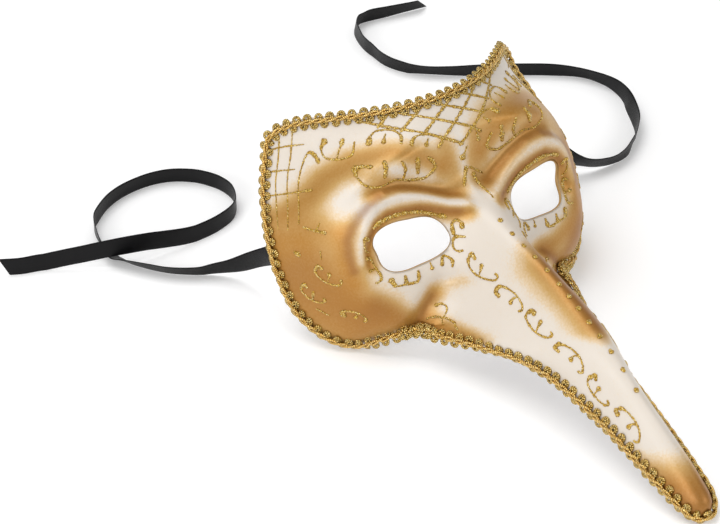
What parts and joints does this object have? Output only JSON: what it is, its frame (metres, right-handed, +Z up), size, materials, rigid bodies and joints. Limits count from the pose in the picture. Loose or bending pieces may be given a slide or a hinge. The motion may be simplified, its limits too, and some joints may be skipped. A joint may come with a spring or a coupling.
{
  "type": "carnival half mask",
  "caption": "Long-nosed carnival half mask in pearl and gold with a braided edge, raised glitter scrolls and two black ribbons to tie it on.",
  "frame": {"origin": "on the table, under the middle of the mask's own length and width, ribbons left out", "axes": "+Z up from the table, -Y towards the tip of the nose, +X to the wearer's left, which is on the right when the mask is looked at from the front"},
  "size_m": [0.3659, 0.4402, 0.1135],
  "materials": {
    "shell": "thin moulded plastic painted pearl white, with satin gold airbrushed over the brows, round the eyes, on the cheeks and the nose tip",
    "braid": "looped gimp braid of metallic gold yarn",
    "ribbon": "black satin ribbon with a fine woven selvedge",
    "glitter": "raised line of clear glue filled with gold glitter",
    "patch": "square of white cloth tape"
  },
  "bodies": {
    "root": {"mask_shell": "shell", "face_braid": "braid", "nose_braid": "braid", "ribbon_left": "ribbon", "ribbon_right": "ribbon", "ribbon_patch_left": "patch", "ribbon_patch_right": "patch", "glitter_lattice": "glitter", "glitter_temple_left": "glitter", "glitter_temple_right": "glitter", "glitter_brow_left": "glitter", "glitter_brow_right": "glitter", "glitter_eye_left": "glitter", "glitter_eye_right": "glitter", "glitter_cheek_left": "glitter", "glitter_cheek_right": "glitter", "glitter_nose_left": "glitter", "glitter_nose_right": "glitter", "glitter_ridge_dots": "glitter"}
  },
  "joints": []
}
